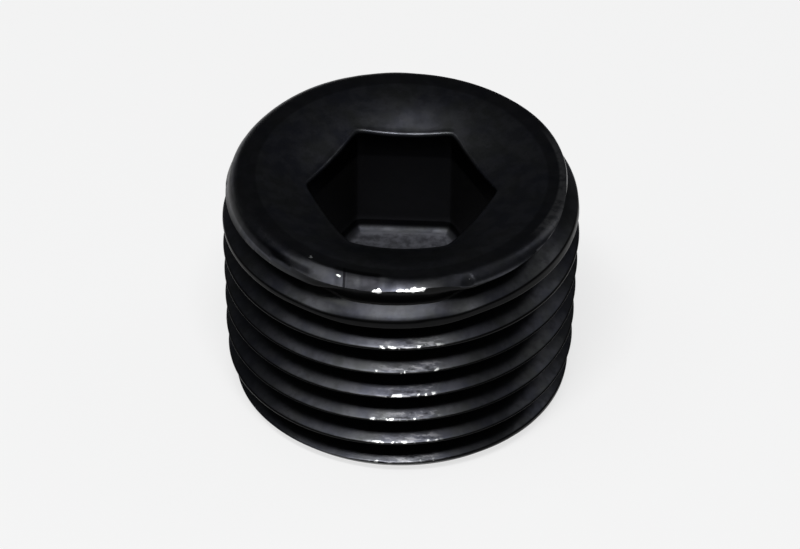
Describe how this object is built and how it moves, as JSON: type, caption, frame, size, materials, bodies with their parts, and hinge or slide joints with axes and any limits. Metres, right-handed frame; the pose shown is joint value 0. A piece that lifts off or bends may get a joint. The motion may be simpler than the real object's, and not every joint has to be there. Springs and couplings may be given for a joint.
{
  "type": "hex socket plug",
  "caption": "Tapered pipe plug with a right-hand outside thread, a dished large end and a blind hexagon socket that a key turns to seal a threaded port.",
  "frame": {"origin": "centre of the small end's flat face, which the plug stands on", "axes": "+Z along the plug's axis from the small end to the large end, out of the hexagon socket; two of the hexagon's flats face -Y and +Y"},
  "size_m": [0.0208, 0.0208, 0.0143],
  "materials": {
    "blackened_steel": "satin"
  },
  "bodies": {
    "root": {"pipe_plug": "blackened_steel"}
  },
  "joints": []
}
